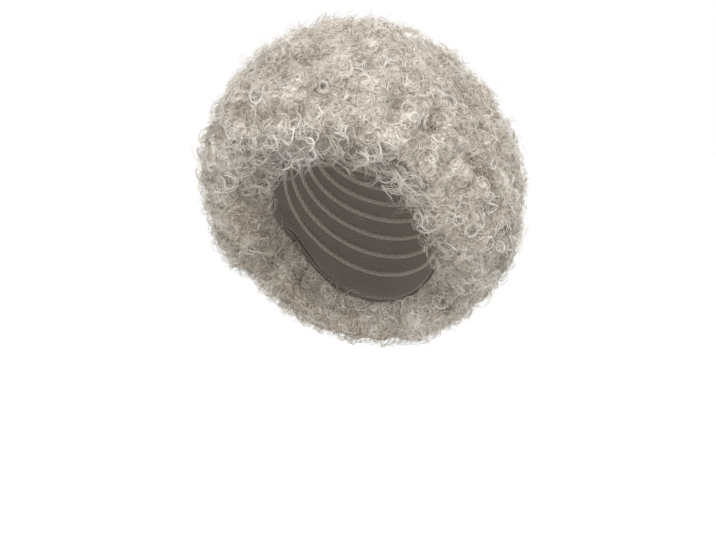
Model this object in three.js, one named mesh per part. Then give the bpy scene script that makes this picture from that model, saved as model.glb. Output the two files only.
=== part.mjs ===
// A short curly wig: a net cap, the elastic band inside its edge, and rows of ringlet curls sewn round it.
// Millimetres, +Z up. The face looks along -Y and +X is the wearer's left.
// The origin is the top of the head that the wig sits on.
import * as THREE from "three";
import { mergeVertices } from "three/addons/utils/BufferGeometryUtils.js";

// Driving dimensions.
const HEAD = { halfBreadth: 76, halfLength: 97, halfHeight: 96 };
const NECK = { radius: 56, forward: 8 };
const CAP_WALL = 1.6;
const BAND = { width: 12, wall: 1.2 };
const BAND_GAP = 0.35;
const HAIR_GAP = 1.4;
const ROW_GAP = 0.8;

// The ball of hair: its mean radius, where its centre is from the origin, how much fuller it is low at the
// back and high at the front, and how much fuller it is below than above.
const BALL = { radius: 148, back: 10, below: 55, lean: 0.2, sag: 0.05 };

// The opening for face and neck points forwards and down by this angle. The crown's whorl is opposite it.
const OPENING_TILT = 54;

// The edge of the wig, mirrored left and right. around: turn about the opening's axis, from the middle of the
// forehead. cap and hair: angle of the cap's edge and of the hair's edge out from that axis. All in degrees.
const EDGE = [
  { place: "forehead", around: 0, cap: 68, hair: 57 },
  { place: "brow", around: 35, cap: 65, hair: 58 },
  { place: "temple", around: 60, cap: 62, hair: 56 },
  { place: "sideburn", around: 82, cap: 58, hair: 51 },
  { place: "over the ear", around: 104, cap: 62, hair: 54 },
  { place: "behind the ear", around: 127, cap: 68, hair: 63 },
  { place: "side of the neck", around: 150, cap: 66, hair: 52 },
  { place: "nape", around: 180, cap: 66, hair: 54 },
];

// The rows of curls as bands of angle out from the whorl, each with its lines of locks. The first row has one
// more lock, on the whorl itself.
const ROWS = [
  { name: "crown_curls", from: 8, to: 24, lines: 1, whorl: true },
  { name: "upper_row_curls", from: 24, to: 54, lines: 2, whorl: false },
  { name: "middle_row_curls", from: 54, to: 84, lines: 2, whorl: false },
  { name: "lower_row_curls", from: 84, to: 99, lines: 1, whorl: false },
];

// The last row goes on over the rounded rim to the edge of the hair, in lengths between two turns about the
// opening's axis. Its lines end so many degrees short of the edge.
const EDGE_ROW = { from: 99, shortOfEdge: [16, 5, 0] };
const EDGE_LENGTHS = [
  { name: "fringe_curls", start: -57, end: 57 },
  { name: "left_side_curls", start: 57, end: 140 },
  { name: "nape_curls", start: 140, end: 220 },
  { name: "right_side_curls", start: 220, end: 303 },
];

// One lock: distance to the next, how far it stands out of the backing, how far its middle swings as it winds
// through turn degrees, as a share of the narrowest reach of its outline, how many degrees its sides twist,
// and how far its height may vary. Its sections run from its root to its tip.
const LOCK = { spacing: 38, rise: 15, sway: 0.25, turn: 220, twist: 30, vary: 0.22 };
const LOCK_SECTIONS = [
  { along: 0, girth: 1 },
  { along: 0.45, girth: 0.81 },
  { along: 0.85, girth: 0.56 },
  { along: 1, girth: 0.2 },
];

// The rim of the backing is rounded over width degrees and stays at least thin millimetres thick up to there.
const RIM = { width: 16, thin: 12 };

// Facets of the cap and band round the opening's axis, and down the cap. Points closer than WELD are one.
const FACETS = { around: 32, down: 8 };
const WELD = 1e-3;

const radians = THREE.MathUtils.degToRad;
const lerp = THREE.MathUtils.lerp;
const clamp = THREE.MathUtils.clamp;

const HEAD_CENTRE = new THREE.Vector3(0, 0, -HEAD.halfHeight);
const HEAD_SIZE = new THREE.Vector3(HEAD.halfBreadth, HEAD.halfLength, HEAD.halfHeight);
const BALL_CENTRE = new THREE.Vector3(0, BALL.back, -BALL.below);

// The whorl's direction, and the two directions that turns about the opening's axis start from.
const WHORL = new THREE.Vector3(0, Math.cos(radians(OPENING_TILT)), Math.sin(radians(OPENING_TILT)));
const FORE = new THREE.Vector3(0, -Math.sin(radians(OPENING_TILT)), Math.cos(radians(OPENING_TILT)));
const SIDE = new THREE.Vector3(1, 0, 0);

// A direction from the ball's centre, by its angle out from the whorl and its turn about that axis.
function direction(out, turn) {
  const across = Math.sin(radians(out));
  return new THREE.Vector3()
    .addScaledVector(WHORL, Math.cos(radians(out)))
    .addScaledVector(FORE, across * Math.cos(radians(turn)))
    .addScaledVector(SIDE, across * Math.sin(radians(turn)));
}

// The edge's angle out from the whorl at any turn, eased between the places of the table.
function edgeAngle(column, turn) {
  const around = Math.abs(((turn + 180) % 360 + 360) % 360 - 180);
  const next = Math.max(1, EDGE.findIndex((row) => row.around >= around));
  const [a, b] = [EDGE[next - 1], EDGE[next]];
  const share = THREE.MathUtils.smoothstep(around, a.around, b.around);
  return 180 - lerp(a[column], b[column], share);
}

// How far the head reaches in a direction, plus an offset square to its skin.
function headReach(dir, offset) {
  const start = BALL_CENTRE.clone().sub(HEAD_CENTRE).divide(HEAD_SIZE);
  const step = dir.clone().divide(HEAD_SIZE);
  const a = step.lengthSq();
  const b = step.dot(start);
  const reach = (Math.sqrt(b * b - a * (start.lengthSq() - 1)) - b) / a;
  const normal = start.addScaledVector(step, reach).divide(HEAD_SIZE).normalize();
  return reach + offset / normal.dot(dir);
}

// How far the neck reaches below a direction, as an upright round column.
function neckReach(dir) {
  if (dir.z >= 0) return 0;
  const start = BALL.back + NECK.forward;
  const a = dir.x * dir.x + dir.y * dir.y;
  const b = dir.y * start;
  return (Math.sqrt(b * b - a * (start * start - NECK.radius ** 2)) - b) / Math.max(a, 1e-3);
}

// A point a little off the skin of the head or neck.
function offSkin(dir, offset) {
  const reach = Math.max(headReach(dir, offset), Math.min(neckReach(dir), BALL.radius) + offset);
  return BALL_CENTRE.clone().addScaledVector(dir, reach);
}

// The radius of the hair's outer form.
function outerReach(dir) {
  return BALL.radius * (1 - BALL.lean * dir.y * dir.z - BALL.sag * dir.z);
}

// The inner face of the hair, a small gap off the cap.
function backingFoot(out, turn) {
  return offSkin(direction(out, turn), CAP_WALL + HAIR_GAP);
}

// The face of the backing that the locks stand on: under the outer form, and rounded down to the skin at the
// rim.
function backingTop(out, turn) {
  const dir = direction(out, turn);
  const skin = backingFoot(out, turn).distanceTo(BALL_CENTRE);
  const bow = 1 - clamp((edgeAngle("hair", turn) - out) / RIM.width, 0, 1);
  const thick = Math.max(outerReach(dir) - LOCK.rise - skin, RIM.thin);
  return BALL_CENTRE.clone().addScaledVector(dir, skin + thick * Math.sqrt(1 - bow * bow));
}

// A closed solid from corner points, three to a triangle, with collapsed triangles left out.
function solidGeometry(corners) {
  const merged = mergeVertices(new THREE.BufferGeometry().setFromPoints(corners), WELD);
  const index = merged.index.array;
  const kept = [];
  for (let i = 0; i < index.length; i += 3) {
    const [a, b, c] = index.slice(i, i + 3);
    if (a !== b && b !== c && c !== a) kept.push(a, b, c);
  }
  return merged.setIndex(kept);
}

// The corners of a strip of quads between two rows of points. It faces the viewer who sees the second row to
// the left of the first.
function strip(first, second, closed) {
  const corners = [];
  const count = first.length;
  for (let i = 0; i < (closed ? count : count - 1); i++) {
    const next = (i + 1) % count;
    corners.push(first[i], first[next], second[next], first[i], second[next], second[i]);
  }
  return corners;
}

// A thin wall on the head that goes all the way round, between an outer and an inner offset from the skin.
// rings(turn) gives its rings as angles out from the whorl.
function wallGeometry(rings, outerOffset, innerOffset) {
  const turns = Array.from({ length: FACETS.around }, (_, i) => 360 * i / FACETS.around);
  const count = rings(0).length;
  const ring = (i, offset) => turns.map((turn) => offSkin(direction(rings(turn)[i], turn), offset));
  const loop = [];
  for (let i = 0; i < count; i++) loop.push(ring(i, outerOffset));
  for (let i = count - 1; i >= 0; i--) loop.push(ring(i, innerOffset));
  return solidGeometry(loop.flatMap((points, i) => strip(loop[(i + 1) % loop.length], points, true)));
}

// The two rings of the band: its upper side and the cap's edge, as angles out from the whorl.
function bandRings(turn) {
  const edge = edgeAngle("cap", turn);
  return [edge - THREE.MathUtils.radToDeg(BAND.width / headReach(direction(edge, turn), 0)), edge];
}

// The rings of the cap: evenly down from the whorl to the band, and the cap's edge.
function capRings(turn) {
  const [upper, edge] = bandRings(turn);
  const even = Array.from({ length: FACETS.down }, (_, i) => upper * i / FACETS.down);
  return [...even, upper, edge];
}

// A repeatable scatter between -1 and 1, so that no two locks stand alike, and the steps of its seed.
const SEED_STEP = { row: 100, line: 37, lock: 11 };
function scatter(seed) {
  const wave = Math.sin(seed * 12.9898) * 43758.5453;
  return 2 * (wave - Math.floor(wave)) - 1;
}

// One lock on the cell that its outline bounds: a twisted dome that leans as it winds up to its tip.
function lock(outline, seed) {
  const count = outline.length;
  const middle = outline.reduce((sum, p) => sum.add(p), new THREE.Vector3()).divideScalar(count);
  const axis = new THREE.Vector3();
  const arms = outline.map((p) => p.clone().sub(middle));
  arms.forEach((arm, i) => axis.add(new THREE.Vector3().crossVectors(arm, arms[(i + 1) % count])));
  axis.normalize();
  const swing = axis.clone().cross(WHORL).normalize().applyAxisAngle(axis, Math.PI * scatter(seed));
  const rise = LOCK.rise * (1 + LOCK.vary * scatter(seed + 1));
  const swayReach = LOCK.sway * Math.min(...arms.map((arm) => arm.length()));
  const rings = LOCK_SECTIONS.map(({ along, girth }) => {
    const sway = swing.clone().applyAxisAngle(axis, radians(LOCK.turn * along));
    const centre = middle.clone()
      .addScaledVector(sway, swayReach * along)
      .addScaledVector(axis, rise * along);
    const twist = radians(LOCK.twist * along);
    return arms.map((arm) => arm.clone().applyAxisAngle(axis, twist).multiplyScalar(girth).add(centre));
  });
  const tip = rings.at(-1);
  const sides = rings.slice(1).flatMap((ring, i) => strip(rings[i], ring, true));
  const end = tip.slice(2).flatMap((p, i) => [tip[0], tip[i + 1], p]);
  return [...sides, ...end];
}

// A row of hair, or one length of it: locks in staggered lines on a backing that is hollow for head and cap.
// rings(turn) gives the angles between its lines, and each ring has two points to a lock.
function curlsGeometry(rings, { start, end }, locks, whorl) {
  const whole = end - start === 360;
  const steps = 2 * locks;
  const turns = Array.from({ length: whole ? steps : steps + 1 }, (_, i) => lerp(start, end, i / steps));
  const lines = rings(start).length - 1;
  const tops = [];
  const feet = [];
  for (let j = 0; j <= lines; j++) {
    tops.push(turns.map((turn) => backingTop(rings(turn)[j], turn)));
    feet.push(turns.map((turn) => backingFoot(rings(turn)[j], turn)));
  }
  const corners = [];
  for (let j = 0; j < lines; j++) {
    const shift = j % 2;
    const cells = whole || shift === 0 ? locks : locks + 1;
    for (let cell = 0; cell < cells; cell++) {
      const from = whole ? 2 * cell + shift : Math.max(2 * cell - shift, 0);
      const to = whole ? from + 2 : Math.min(2 * cell + 2 - shift, steps);
      const span = Array.from({ length: to - from + 1 }, (_, i) => (from + i) % turns.length);
      const outline = [...span.map((k) => tops[j + 1][k]), ...span.reverse().map((k) => tops[j][k])];
      const seed = start + SEED_STEP.row * rings(start)[0] + SEED_STEP.line * j + SEED_STEP.lock * cell;
      corners.push(...lock(outline, seed));
    }
    corners.push(...strip(feet[j], feet[j + 1], whole));
  }
  corners.push(...strip(feet[lines], tops[lines], whole));
  if (whorl) {
    const pole = backingFoot(0, 0);
    corners.push(...lock(tops[0], start), ...strip(turns.map(() => pole), feet[0], true));
  } else {
    corners.push(...strip(tops[0], feet[0], whole));
  }
  if (!whole) {
    const side = (grid, k) => grid.map((ring) => ring.at(k));
    corners.push(...strip(side(feet, 0), side(tops, 0), false));
    corners.push(...strip(side(tops, -1), side(feet, -1), false));
  }
  return solidGeometry(corners);
}

// Half of the gap between two rows, as an angle.
const TRIM = THREE.MathUtils.radToDeg(ROW_GAP / 2 / HEAD.halfLength);

// How many locks fit side by side along a ring.
function locksAlong(out, { start, end }) {
  return Math.round(BALL.radius * Math.sin(radians(out)) * radians(end - start) / LOCK.spacing);
}

// A row that goes all the way round the whorl.
function rowGeometry({ from, to, lines, whorl }) {
  const allRound = { start: 0, end: 360 };
  const first = whorl ? from : from + TRIM;
  const rings = Array.from({ length: lines + 1 }, (_, i) => lerp(first, to - TRIM, i / lines));
  return curlsGeometry(() => rings, allRound, locksAlong((from + to) / 2, allRound), whorl);
}

// One length of the row along the edge.
function lengthGeometry({ start, end }) {
  const rings = (turn) => {
    const edge = edgeAngle("hair", turn);
    return [EDGE_ROW.from + TRIM, ...EDGE_ROW.shortOfEdge.map((short) => edge - short)];
  };
  const trimmed = { start: start + TRIM, end: end - TRIM };
  return curlsGeometry(rings, trimmed, locksAlong(EDGE_ROW.from, trimmed), false);
}

// Finishes: grey net, grey elastic and light ash-grey hair.
const NET = { color: 0x8d877e, roughness: 0.9, metalness: 0 };
const ELASTIC = { color: 0x6f6a64, roughness: 0.85, metalness: 0 };
const HAIR = { color: 0xbab1a5, roughness: 0.6, metalness: 0 };

const wig = new THREE.Group();

function addPiece(name, geometry, finish) {
  const piece = new THREE.Mesh(geometry, new THREE.MeshStandardMaterial(finish));
  piece.name = name;
  wig.add(piece);
}

addPiece("cap", wallGeometry(capRings, CAP_WALL, 0), NET);
addPiece("edge_band", wallGeometry(bandRings, -BAND_GAP, -BAND_GAP - BAND.wall), ELASTIC);
for (const row of ROWS) addPiece(row.name, rowGeometry(row), HAIR);
for (const length of EDGE_LENGTHS) addPiece(length.name, lengthGeometry(length), HAIR);

export default wig;
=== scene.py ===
"""Dresses a short curly wig: rows of ring curls on a net cap with an elastic band, in a pale studio."""

import logging
import math
from collections.abc import Callable
from dataclasses import dataclass
from enum import Enum
from typing import Any

import bpy
import numpy as np
from bpy.types import Material, Mesh, Node, NodeSocket, NodeTree, Object
from mathutils import Matrix, Vector, noise
from mathutils.bvhtree import BVHTree


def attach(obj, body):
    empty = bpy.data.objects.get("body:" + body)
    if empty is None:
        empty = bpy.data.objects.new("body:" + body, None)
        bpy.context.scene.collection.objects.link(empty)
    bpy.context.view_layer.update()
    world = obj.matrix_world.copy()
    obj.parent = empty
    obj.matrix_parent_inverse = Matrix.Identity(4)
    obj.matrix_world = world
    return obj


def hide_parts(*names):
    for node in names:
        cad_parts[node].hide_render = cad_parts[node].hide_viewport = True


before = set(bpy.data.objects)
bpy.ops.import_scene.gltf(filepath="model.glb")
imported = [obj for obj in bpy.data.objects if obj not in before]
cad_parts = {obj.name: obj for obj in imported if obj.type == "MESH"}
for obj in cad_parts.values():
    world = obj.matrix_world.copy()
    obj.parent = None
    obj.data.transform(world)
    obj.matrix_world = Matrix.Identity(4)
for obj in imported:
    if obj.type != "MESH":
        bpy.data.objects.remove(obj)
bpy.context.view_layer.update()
LOG = logging.getLogger("wig")
MM = 0.001
SEEDS_APART = 100
CURL_MAP = "OFBake"
FACE_MAP = "face_map"
Colour = tuple[float, float, float]
Shades = tuple[tuple[float, Colour], ...]
Range = tuple[float, float]

# A measure at the end of its last cell is kept inside that cell by so much of it.
NUDGE = 0.001

# A relief is a strength and a depth in millimetres, a lift a point and its direction.
# Spots give the point of a face at a measure across it and a turn.
Relief = tuple[float, float]
Lift = tuple[Vector, Vector]
Spots = Callable[[float, float], Vector]


class Slot(Enum):
    """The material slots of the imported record."""

    NET = "net"
    ELASTIC = "elastic"
    HAIR = "hair"


class Graph:
    """A node tree under construction, of a material or of Geometry Nodes."""

    def __init__(self, tree: NodeTree) -> None:
        """Keeps the tree that nodes are added to."""
        self.tree = tree

    def give(self, target: NodeSocket, value: Any) -> None:
        """Links an input to an output, or sets it to a plain value.

        Args:
            target: The input.
            value: The output or the plain value.
        """
        if isinstance(value, NodeSocket):
            self.tree.links.new(value, target)
        else:
            target.default_value = value

    def add(self, kind: str, inputs: dict[Any, Any] | None = None, **settings: Any) -> Node:
        """Adds one node.

        Args:
            kind: The node's type name.
            inputs: Values or output sockets for its inputs, by name or number.
            settings: Its own properties.

        Returns:
            The new node.
        """
        node = self.tree.nodes.new(kind)
        for name, value in settings.items():
            setattr(node, name, value)
        for key, value in (inputs or {}).items():
            self.give(node.inputs[key], value)
        return node

    def made(self, kind: str, inputs: dict[Any, Any] | None = None, **settings: Any) -> NodeSocket:
        """The first output of one new node."""
        return self.add(kind, inputs, **settings).outputs[0]

    def math(self, operation: str, *values: Any) -> NodeSocket:
        """The result of a Math node on one to three values or sockets."""
        return self.made("ShaderNodeMath", dict(enumerate(values)), operation=operation)

    def plus(self, value: Any, more: Any) -> NodeSocket:
        """The sum of two numbers."""
        return self.math("ADD", value, more)

    def times(self, value: Any, factor: Any) -> NodeSocket:
        """The product of two numbers."""
        return self.math("MULTIPLY", value, factor)

    def vector(self, operation: str, *values: Any) -> NodeSocket:
        """The vector result of a Vector Math node on its first inputs."""
        return self.made("ShaderNodeVectorMath", dict(enumerate(values)), operation=operation)

    def scaled(self, vector: Any, factor: Any) -> NodeSocket:
        """A vector or colour times a number."""
        return self.made("ShaderNodeVectorMath", {0: vector, "Scale": factor}, operation="SCALE")

    def combine(self, x: Any, y: Any, z: Any) -> NodeSocket:
        """A vector from its three parts."""
        return self.made("ShaderNodeCombineXYZ", {"X": x, "Y": y, "Z": z})

    def spread(self, factor: Any, low: float, high: float) -> NodeSocket:
        """A value from 0 to 1 mapped to a range."""
        return self.made("ShaderNodeMapRange", {"Value": factor, "To Min": low, "To Max": high})

    def noise(self, place: NodeSocket, scale: float, detail: float, own: Any = None) -> Any:
        """The outputs of a noise texture, which differs with the number own where that is given."""
        inputs = {"Vector": place, "Scale": scale, "Detail": detail} | ({} if own is None else {"W": own})
        return self.add("ShaderNodeTexNoise", inputs, noise_dimensions="3D" if own is None else "4D").outputs


class Surface(Graph):
    """A new material under construction."""

    def __init__(self, name: str) -> None:
        """Makes the material.

        Args:
            name: Its name.
        """
        self.material = bpy.data.materials.new(name)
        self.material.use_nodes = True
        super().__init__(self.material.node_tree)
        self.shader = self.tree.nodes["Principled BSDF"].inputs

    def on_object(self) -> NodeSocket:
        """The place in Object coordinates."""
        return self.add("ShaderNodeTexCoord").outputs["Object"]

    def on_map(self, name: str) -> NodeSocket:
        """The place on a map of the piece's own."""
        return self.add("ShaderNodeUVMap", uv_map=name).outputs["UV"]

    def split(self, place: NodeSocket) -> tuple[NodeSocket, NodeSocket]:
        """The first two parts of a place."""
        parts = self.add("ShaderNodeSeparateXYZ", {0: place}).outputs
        return parts["X"], parts["Y"]

    def ramp(self, factor: NodeSocket, stops: Shades) -> NodeSocket:
        """A colour read from a ramp.

        Args:
            factor: The place on the ramp, from 0 to 1.
            stops: The place and colour of each stop.

        Returns:
            The colour.
        """
        node = self.add("ShaderNodeValToRGB", {"Fac": factor})
        elements = node.color_ramp.elements
        while len(elements) < len(stops):
            elements.new(0.5)
        for element, (place, colour) in zip(elements, stops):
            element.position = place
            element.color = (*colour, 1.0)
        return node.outputs["Color"]

    def dress(self, colour: NodeSocket, roughness: Any) -> Material:
        """Gives the shader its colour and roughness.

        Args:
            colour: The base colour.
            roughness: The roughness, as a number or an output.

        Returns:
            The finished material.
        """
        self.give(self.shader["Base Color"], colour)
        self.give(self.shader["Roughness"], roughness)
        return self.material

    def emboss(self, height: NodeSocket, strength: float, depth: float) -> None:
        """Gives the shader a relief, of a depth in millimetres."""
        bump = self.made("ShaderNodeBump", {"Height": height, "Strength": strength, "Distance": depth * MM})
        self.give(self.shader["Normal"], bump)


@dataclass(frozen=True)
class CurlFinish:
    """The finish of the curls: fine fibres side by side, each curl with a shade of its own, which also holds
    painted light and shade: lighter on the tops of the lumps, darker in the hollows between them.

    columns counts the shades on the curls' map, and fibres and streaks how finely a curl is streaked across
    and along. A curl is darker at its root, by the factor of its root's painted shade, over the first
    root_length of it.
    """

    name: str = "ash_grey_curls"
    columns: int = 96
    shades: Shades = (
        (0.0, (0.38, 0.328, 0.262)),
        (0.35, (0.55, 0.499, 0.434)),
        (0.7, (0.665, 0.626, 0.574)),
        (1.0, (0.76, 0.73, 0.69)),
    )
    fibres: float = 5.0
    streaks: float = 1.5
    contrast: float = 0.22
    root_painted_shade: float = 0.62
    root_length: float = 0.45
    roughness: float = 0.45
    roughness_play: float = 0.12
    specular: float = 0.3
    relief: Relief = (0.5, 0.3)

    def material(self) -> Material:
        """Builds the material on the curls' own map: a column to a shade, along a curl's length upwards.

        Returns:
            The material.
        """
        surface = Surface(self.name)
        x, y = surface.split(surface.on_map(CURL_MAP))
        columns = surface.times(x, float(self.columns))
        # The column holds the curl's own tone and the painted light and shade of the lumps it grows on.
        shade = surface.math("DIVIDE", surface.math("FLOOR", columns), self.columns - 1.0)
        lines = surface.combine(surface.times(columns, self.fibres), surface.times(y, self.streaks), 0.0)
        fibre = surface.noise(lines, scale=1.0, detail=2.0)["Fac"]
        # Painted shade at each curl's root, where it meets the underhair.
        roots = {"Value": y, "From Max": self.root_length, "To Min": self.root_painted_shade, "To Max": 1.0}
        root_shading = surface.made("ShaderNodeMapRange", roots, interpolation_type="SMOOTHSTEP")
        light = surface.times(surface.spread(fibre, 1.0 - self.contrast, 1.0 + self.contrast), root_shading)
        rough, play = self.roughness, self.roughness_play
        surface.emboss(fibre, *self.relief)
        surface.give(surface.shader["Specular IOR Level"], self.specular)
        colour = surface.scaled(surface.ramp(shade, self.shades), light)
        return surface.dress(colour, surface.spread(fibre, rough + play, rough - play))


@dataclass(frozen=True)
class UnderhairFinish:
    """The finish of the dense hair below the curls: packed rings of fine fibres, each with its own shade, all
    darker than the curls as painted shade of the hair's depths.

    rings counts the rings to a metre and fibres how finely each is lined. The lines are mapped to line_range.
    The shares of fuzz, of a ring's own chance and of the lumps' painted light and shade, lighter on their
    tops and darker in the hollows, are added to them for the shade.
    """

    name: str = "ash_grey_underhair"
    # All darker than the curls' shades: painted shade of the hair's depths.
    shades: Shades = ((0.1, (0.155, 0.126, 0.096)), (0.5, (0.345, 0.302, 0.25)), (0.9, (0.57, 0.53, 0.478)))
    rings: float = 78.0
    fibres: float = 13.0
    bends: float = 130.0
    bend_reach: float = 6.0
    arcs: float = 1.4
    rings_apart: float = 19.0
    fuzz: float = 900.0
    line_range: Range = (-0.95, 1.25)
    fuzz_share: float = 0.2
    ring_share: float = 0.2
    lump_shading_share: float = 0.25
    roughness: Range = (0.65, 0.45)
    relief: Relief = (0.8, 1.0)

    def material(self) -> Material:
        """Builds the material on Object coordinates.

        Returns:
            The material.
        """
        surface = Surface(self.name)
        place = surface.on_object()
        bend = surface.noise(place, self.bends, detail=2.0)["Color"]
        bent = surface.vector("ADD", place, surface.scaled(bend, self.bend_reach * MM))
        ring = surface.add("ShaderNodeTexVoronoi", {"Vector": bent, "Scale": self.rings}).outputs
        spoke = surface.vector("NORMALIZE", surface.vector("SUBTRACT", bent, ring["Position"]))
        apart = surface.scaled(ring["Color"], self.rings_apart)
        arcs = surface.vector("ADD", surface.scaled(spoke, self.arcs), apart)
        across = surface.times(ring["Distance"], self.fibres)
        lines = surface.noise(arcs, scale=1.0, detail=2.0, own=across)["Fac"]
        fuzz = surface.noise(bent, self.fuzz, detail=2.0)["Fac"]
        own = surface.made("ShaderNodeSeparateColor", {0: ring["Color"]})
        # Lighter on the tops of the lumps and darker in the hollows: painted light and shade.
        lump = surface.add("ShaderNodeAttribute", attribute_name="lump").outputs["Fac"]
        shade = surface.spread(lines, *self.line_range)
        for value, share in ((fuzz, self.fuzz_share), (own, self.ring_share), (lump, self.lump_shading_share)):
            shade = surface.plus(shade, surface.times(value, share))
        surface.emboss(shade, *self.relief)
        return surface.dress(surface.ramp(shade, self.shades), surface.spread(fuzz, *self.roughness))


@dataclass(frozen=True)
class NetFinish:
    """The finish of the cap: a fine diamond net of knitted thread, with painted shade in its holes for the
    hair that lies dark behind them.

    cell is the width of a diamond in millimetres, and fineness narrows the thread.
    """

    name: str = "knitted_net"
    # The first stop is painted shade in the holes, for the hair lying dark behind them; the second is the
    # thread.
    shades: Shades = ((0.15, (0.10, 0.085, 0.07)), (0.75, (0.34, 0.30, 0.26)))
    cell: float = 2.6
    fineness: float = 5.0
    wobbles: float = 260.0
    wobble_reach: float = 0.8
    roughness: float = 0.85
    relief: Relief = (0.8, 0.6)

    def material(self) -> Material:
        """Builds the material on the cap's own map, in metres along its face.

        Returns:
            The material.
        """
        surface = Surface(self.name)
        place = surface.on_map(FACE_MAP)
        wobble = surface.noise(place, self.wobbles, detail=1.0)["Color"]
        bent = surface.vector("ADD", place, surface.scaled(wobble, self.wobble_reach * MM))
        x, y = surface.split(bent)
        lines = []
        for operation in ("ADD", "SUBTRACT"):
            across = surface.times(surface.math(operation, x, y), math.pi / (self.cell * MM))
            lines.append(surface.math("ABSOLUTE", surface.math("COSINE", across)))
        ridge = surface.math("POWER", surface.math("MAXIMUM", *lines), self.fineness)
        surface.emboss(ridge, *self.relief)
        return surface.dress(surface.ramp(ridge, self.shades), self.roughness)


@dataclass(frozen=True)
class ElasticFinish:
    """The finish of the edge band: elastic with ribs along it and a fine weave across, in millimetres, darker
    in its grooves as painted shade.
    """

    name: str = "woven_elastic"
    shades: Shades = ((0.1, (0.07, 0.06, 0.055)), (0.9, (0.20, 0.175, 0.155)))
    ribs: float = 1.6
    weave: float = 0.9
    rib_share: float = 0.3
    weave_share: float = 0.2
    roughness: float = 0.8
    relief: Relief = (0.8, 0.5)

    def material(self) -> Material:
        """Builds the material on the band's own map, in metres along and across it.

        Returns:
            The material.
        """
        surface = Surface(self.name)
        x, y = surface.split(surface.on_map(FACE_MAP))
        across = surface.math("COSINE", surface.times(y, 2 * math.pi / (self.ribs * MM)))
        along = surface.math("COSINE", surface.times(x, 2 * math.pi / (self.weave * MM)))
        woven = surface.times(surface.times(across, along), self.weave_share)
        height = surface.plus(surface.plus(surface.times(across, self.rib_share), woven), 0.5)
        surface.emboss(height, *self.relief)
        # Low places of the relief take the darker stop: painted shade in the grooves.
        return surface.dress(surface.ramp(height, self.shades), self.roughness)


@dataclass(frozen=True)
class WeftFinish:
    """The finish of the sewn tracks: the roots of the hair laid across a thread, so many to a metre."""

    name: str = "weft_roots"
    shades: Shades = ((0.3, (0.17, 0.145, 0.12)), (0.7, (0.48, 0.43, 0.37)))
    roots: Range = (1900.0, 160.0)
    roughness: float = 0.55
    relief: Relief = (0.9, 0.5)

    def material(self) -> Material:
        """Builds the material on the tracks' own map.

        Returns:
            The material.
        """
        surface = Surface(self.name)
        roots = surface.vector("MULTIPLY", surface.on_map(FACE_MAP), (*self.roots, 1.0))
        fibre = surface.noise(roots, scale=1.0, detail=3.0)["Fac"]
        surface.emboss(fibre, *self.relief)
        return surface.dress(surface.ramp(fibre, self.shades), self.roughness)


@dataclass(frozen=True)
class PlainFinish:
    """A plain finish with a fine grain, such as that of the sewing thread."""

    name: str = "sewing_thread"
    shades: Shades = ((0.0, (0.39, 0.3525, 0.3075)), (1.0, (0.65, 0.5875, 0.5125)))
    grain: float = 2500.0
    detail: float = 1.0
    roughness: float = 0.5

    def material(self) -> Material:
        """Builds the material on Object coordinates.

        Returns:
            The material.
        """
        surface = Surface(self.name)
        grain = surface.noise(surface.on_object(), self.grain, self.detail)["Fac"]
        return surface.dress(surface.ramp(grain, self.shades), self.roughness)


def new_object(name: str, mesh: Mesh) -> Object:
    """Links a new object at the origin.

    Args:
        name: Its name.
        mesh: Its mesh.

    Returns:
        The object.
    """
    made = bpy.data.objects.new(name, mesh)
    bpy.context.scene.collection.objects.link(made)
    return made


def keep(piece: Object, slot: Slot, *nodes: str) -> None:
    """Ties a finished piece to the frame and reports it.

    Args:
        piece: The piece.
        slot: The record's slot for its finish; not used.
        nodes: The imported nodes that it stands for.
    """
    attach(piece, "root")
    if nodes:
        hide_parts(*nodes)
    triangles = sum(len(face.vertices) - 2 for face in piece.data.polygons)
    LOG.info("%s: %d triangles", piece.name, triangles)


class Kind(Enum):
    """The kinds of input that a Geometry Nodes tree takes."""

    NUMBER = "NodeSocketFloat"
    COUNT = "NodeSocketInt"
    NAME = "NodeSocketString"
    MATERIAL = "NodeSocketMaterial"


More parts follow.
